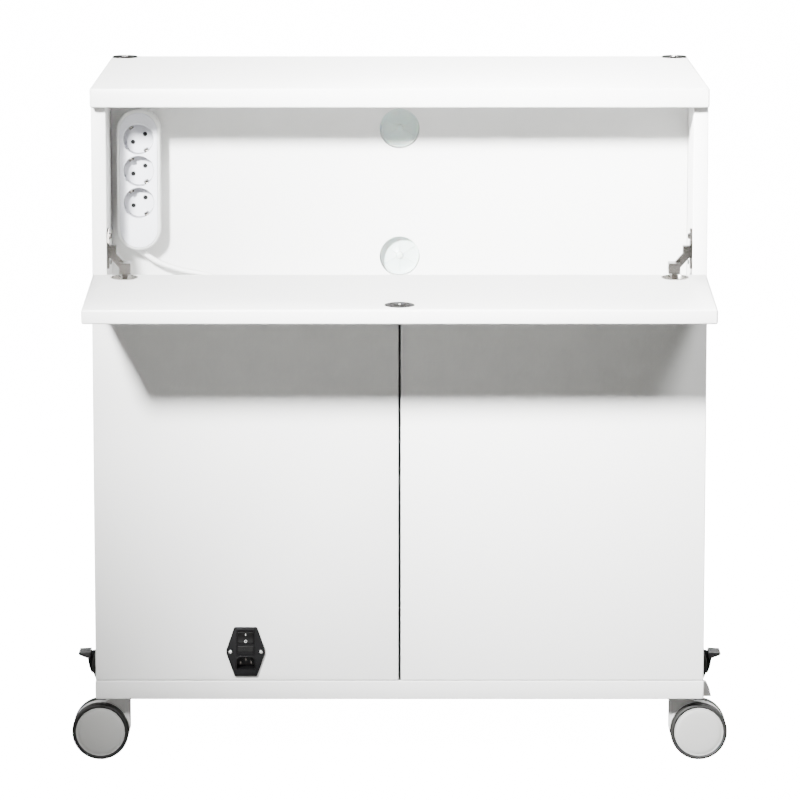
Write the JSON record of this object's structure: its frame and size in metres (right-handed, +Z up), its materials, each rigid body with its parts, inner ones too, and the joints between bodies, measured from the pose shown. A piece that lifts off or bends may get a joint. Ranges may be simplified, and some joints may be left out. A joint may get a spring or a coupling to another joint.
{
  "type": "mobile media cabinet",
  "caption": "Mobile media cabinet on twin-wheel castors: drop-down flap over a shallow socket compartment, touch-latch double doors, and a switched mains inlet in the left door.",
  "frame": {"origin": "on the floor, under the middle of the bounding box with the flap open and the doors closed", "axes": "+X to the right seen from the front, +Y to the back, +Z up"},
  "size_m": [0.91, 0.7156, 0.893],
  "materials": {
    "white_board": "satin white melamine with a faint pearl",
    "white_plastic": "smooth white moulded plastic",
    "grey_plastic": "satin light grey moulded plastic",
    "black_plastic": "smooth black moulded plastic",
    "tyre": "dark grey soft tread",
    "nickel": "nickel plated"
  },
  "bodies": {
    "root": {"top_board": "white_board", "bottom_board": "white_board", "side_panel_left": "white_board", "side_panel_right": "white_board", "rear_panel": "white_board", "compartment_floor": "white_board", "compartment_back_wall": "white_board", "shelf": "white_board", "port_cap_lower": "white_plastic", "port_cap_upper": "white_plastic", "corner_fitting_left": "nickel", "corner_fitting_right": "nickel", "touch_latch_left": "white_plastic", "touch_latch_right": "white_plastic", "strip_base": "white_plastic", "strip_cover": "white_plastic", "lead_fixed": "white_plastic", "flap_hinge_arm_left": "nickel", "flap_hinge_arm_right": "nickel", "door_hinge_arm_left_lower": "nickel", "door_hinge_arm_left_upper": "nickel", "door_hinge_arm_right_lower": "nickel", "door_hinge_arm_right_upper": "nickel", "castor_stem_front_left": "nickel", "castor_stem_front_right": "nickel", "castor_stem_rear_left": "nickel", "castor_stem_rear_right": "nickel"},
    "flap": {"flap_panel": "white_board", "flap_hinge_cup_left": "nickel", "flap_hinge_cup_right": "nickel", "lock_case": "nickel"},
    "lock_rotor": {"lock_rotor": "nickel"},
    "door_left": {"door_left": "white_board", "door_hinge_cup_left_lower": "nickel", "door_hinge_cup_left_upper": "nickel", "inlet_body": "black_plastic", "inlet_screw_left": "nickel", "inlet_screw_right": "nickel", "lead_door": "white_plastic"},
    "door_right": {"door_right": "white_board", "door_hinge_cup_right_lower": "nickel", "door_hinge_cup_right_upper": "nickel"},
    "inlet_rocker": {"inlet_rocker": "black_plastic"},
    "fuse_drawer": {"fuse_drawer": "black_plastic"},
    "latch_plunger_left": {"latch_plunger_left": "grey_plastic"},
    "latch_plunger_right": {"latch_plunger_right": "grey_plastic"},
    "swivel_front_left": {"castor_hood_front_left": "grey_plastic"},
    "wheel_front_left_front": {"castor_wheel_front_left_front": "tyre"},
    "wheel_front_left_rear": {"castor_wheel_front_left_rear": "tyre"},
    "swivel_front_right": {"castor_hood_front_right": "grey_plastic"},
    "wheel_front_right_front": {"castor_wheel_front_right_front": "tyre"},
    "wheel_front_right_rear": {"castor_wheel_front_right_rear": "tyre"},
    "swivel_rear_left": {"castor_hood_rear_left": "grey_plastic"},
    "wheel_rear_left_front": {"castor_wheel_rear_left_front": "tyre"},
    "wheel_rear_left_rear": {"castor_wheel_rear_left_rear": "tyre"},
    "pedal_rear_left": {"brake_pedal_rear_left": "black_plastic"},
    "swivel_rear_right": {"castor_hood_rear_right": "grey_plastic"},
    "wheel_rear_right_front": {"castor_wheel_rear_right_front": "tyre"},
    "wheel_rear_right_rear": {"castor_wheel_rear_right_rear": "tyre"},
    "pedal_rear_right": {"brake_pedal_rear_right": "black_plastic"}
  },
  "joints": [
    {"name": "flap_hinge", "type": "hinge", "parent": "root", "child": "flap", "pos_m": [0, -0.13219, 0.6365], "axis": [-1, 0, 0], "range_deg": [0, 93.6]},
    {"name": "lock_turn", "type": "hinge", "parent": "flap", "child": "lock_rotor", "pos_m": [0, -0.32531, 0.62435], "axis": [0, -0.0628, 0.998], "range_deg": [0, 90]},
    {"name": "door_left_hinge", "type": "hinge", "parent": "root", "child": "door_left", "pos_m": [-0.3915, -0.13219, 0.356], "axis": [0, 0, -1], "range_deg": [0, 95]},
    {"name": "door_right_hinge", "type": "hinge", "parent": "root", "child": "door_right", "pos_m": [0.3915, -0.13219, 0.356], "axis": [0, 0, 1], "range_deg": [0, 95]},
    {"name": "inlet_switch", "type": "hinge", "parent": "door_left", "child": "inlet_rocker", "pos_m": [-0.202, -0.14219, 0.169], "axis": [-1, 0, 0], "range_deg": [0, 16]},
    {"name": "fuse_drawer_slide", "type": "slide", "parent": "door_left", "child": "fuse_drawer", "axis": [0, -1, 0], "range_m": [0, 0.014]},
    {"name": "latch_press_left", "type": "slide", "parent": "root", "child": "latch_plunger_left", "axis": [0, 1, 0], "range_m": [0, 0.0023], "stiffness_N_per_m": 400},
    {"name": "latch_press_right", "type": "slide", "parent": "root", "child": "latch_plunger_right", "axis": [0, 1, 0], "range_m": [0, 0.0023], "stiffness_N_per_m": 400},
    {"name": "swivel_front_left", "type": "hinge", "parent": "root", "child": "swivel_front_left", "pos_m": [-0.368, -0.10219, 0.06], "axis": [0, 0, 1], "continuous": true},
    {"name": "roll_front_left_front", "type": "hinge", "parent": "swivel_front_left", "child": "wheel_front_left_front", "pos_m": [-0.395, -0.10219, 0.0375], "axis": [0, 1, 0], "continuous": true},
    {"name": "roll_front_left_rear", "type": "hinge", "parent": "swivel_front_left", "child": "wheel_front_left_rear", "pos_m": [-0.395, -0.10219, 0.0375], "axis": [0, 1, 0], "continuous": true},
    {"name": "swivel_front_right", "type": "hinge", "parent": "root", "child": "swivel_front_right", "pos_m": [0.368, -0.10219, 0.06], "axis": [0, 0, 1], "continuous": true},
    {"name": "roll_front_right_front", "type": "hinge", "parent": "swivel_front_right", "child": "wheel_front_right_front", "pos_m": [0.395, -0.10219, 0.0375], "axis": [0, 1, 0], "continuous": true},
    {"name": "roll_front_right_rear", "type": "hinge", "parent": "swivel_front_right", "child": "wheel_front_right_rear", "pos_m": [0.395, -0.10219, 0.0375], "axis": [0, 1, 0], "continuous": true},
    {"name": "swivel_rear_left", "type": "hinge", "parent": "root", "child": "swivel_rear_left", "pos_m": [-0.368, 0.31781, 0.06], "axis": [0, 0, 1], "continuous": true},
    {"name": "roll_rear_left_front", "type": "hinge", "parent": "swivel_rear_left", "child": "wheel_rear_left_front", "pos_m": [-0.395, 0.31781, 0.0375], "axis": [0, 1, 0], "continuous": true},
    {"name": "roll_rear_left_rear", "type": "hinge", "parent": "swivel_rear_left", "child": "wheel_rear_left_rear", "pos_m": [-0.395, 0.31781, 0.0375], "axis": [0, 1, 0], "continuous": true},
    {"name": "brake_rear_left", "type": "hinge", "parent": "swivel_rear_left", "child": "pedal_rear_left", "pos_m": [-0.418, 0.31781, 0.052], "axis": [0, -1, 0], "range_deg": [0, 10]},
    {"name": "swivel_rear_right", "type": "hinge", "parent": "root", "child": "swivel_rear_right", "pos_m": [0.368, 0.31781, 0.06], "axis": [0, 0, 1], "continuous": true},
    {"name": "roll_rear_right_front", "type": "hinge", "parent": "swivel_rear_right", "child": "wheel_rear_right_front", "pos_m": [0.395, 0.31781, 0.0375], "axis": [0, 1, 0], "continuous": true},
    {"name": "roll_rear_right_rear", "type": "hinge", "parent": "swivel_rear_right", "child": "wheel_rear_right_rear", "pos_m": [0.395, 0.31781, 0.0375], "axis": [0, 1, 0], "continuous": true},
    {"name": "brake_rear_right", "type": "hinge", "parent": "swivel_rear_right", "child": "pedal_rear_right", "pos_m": [0.418, 0.31781, 0.052], "axis": [0, 1, 0], "range_deg": [0, 10]}
  ]
}
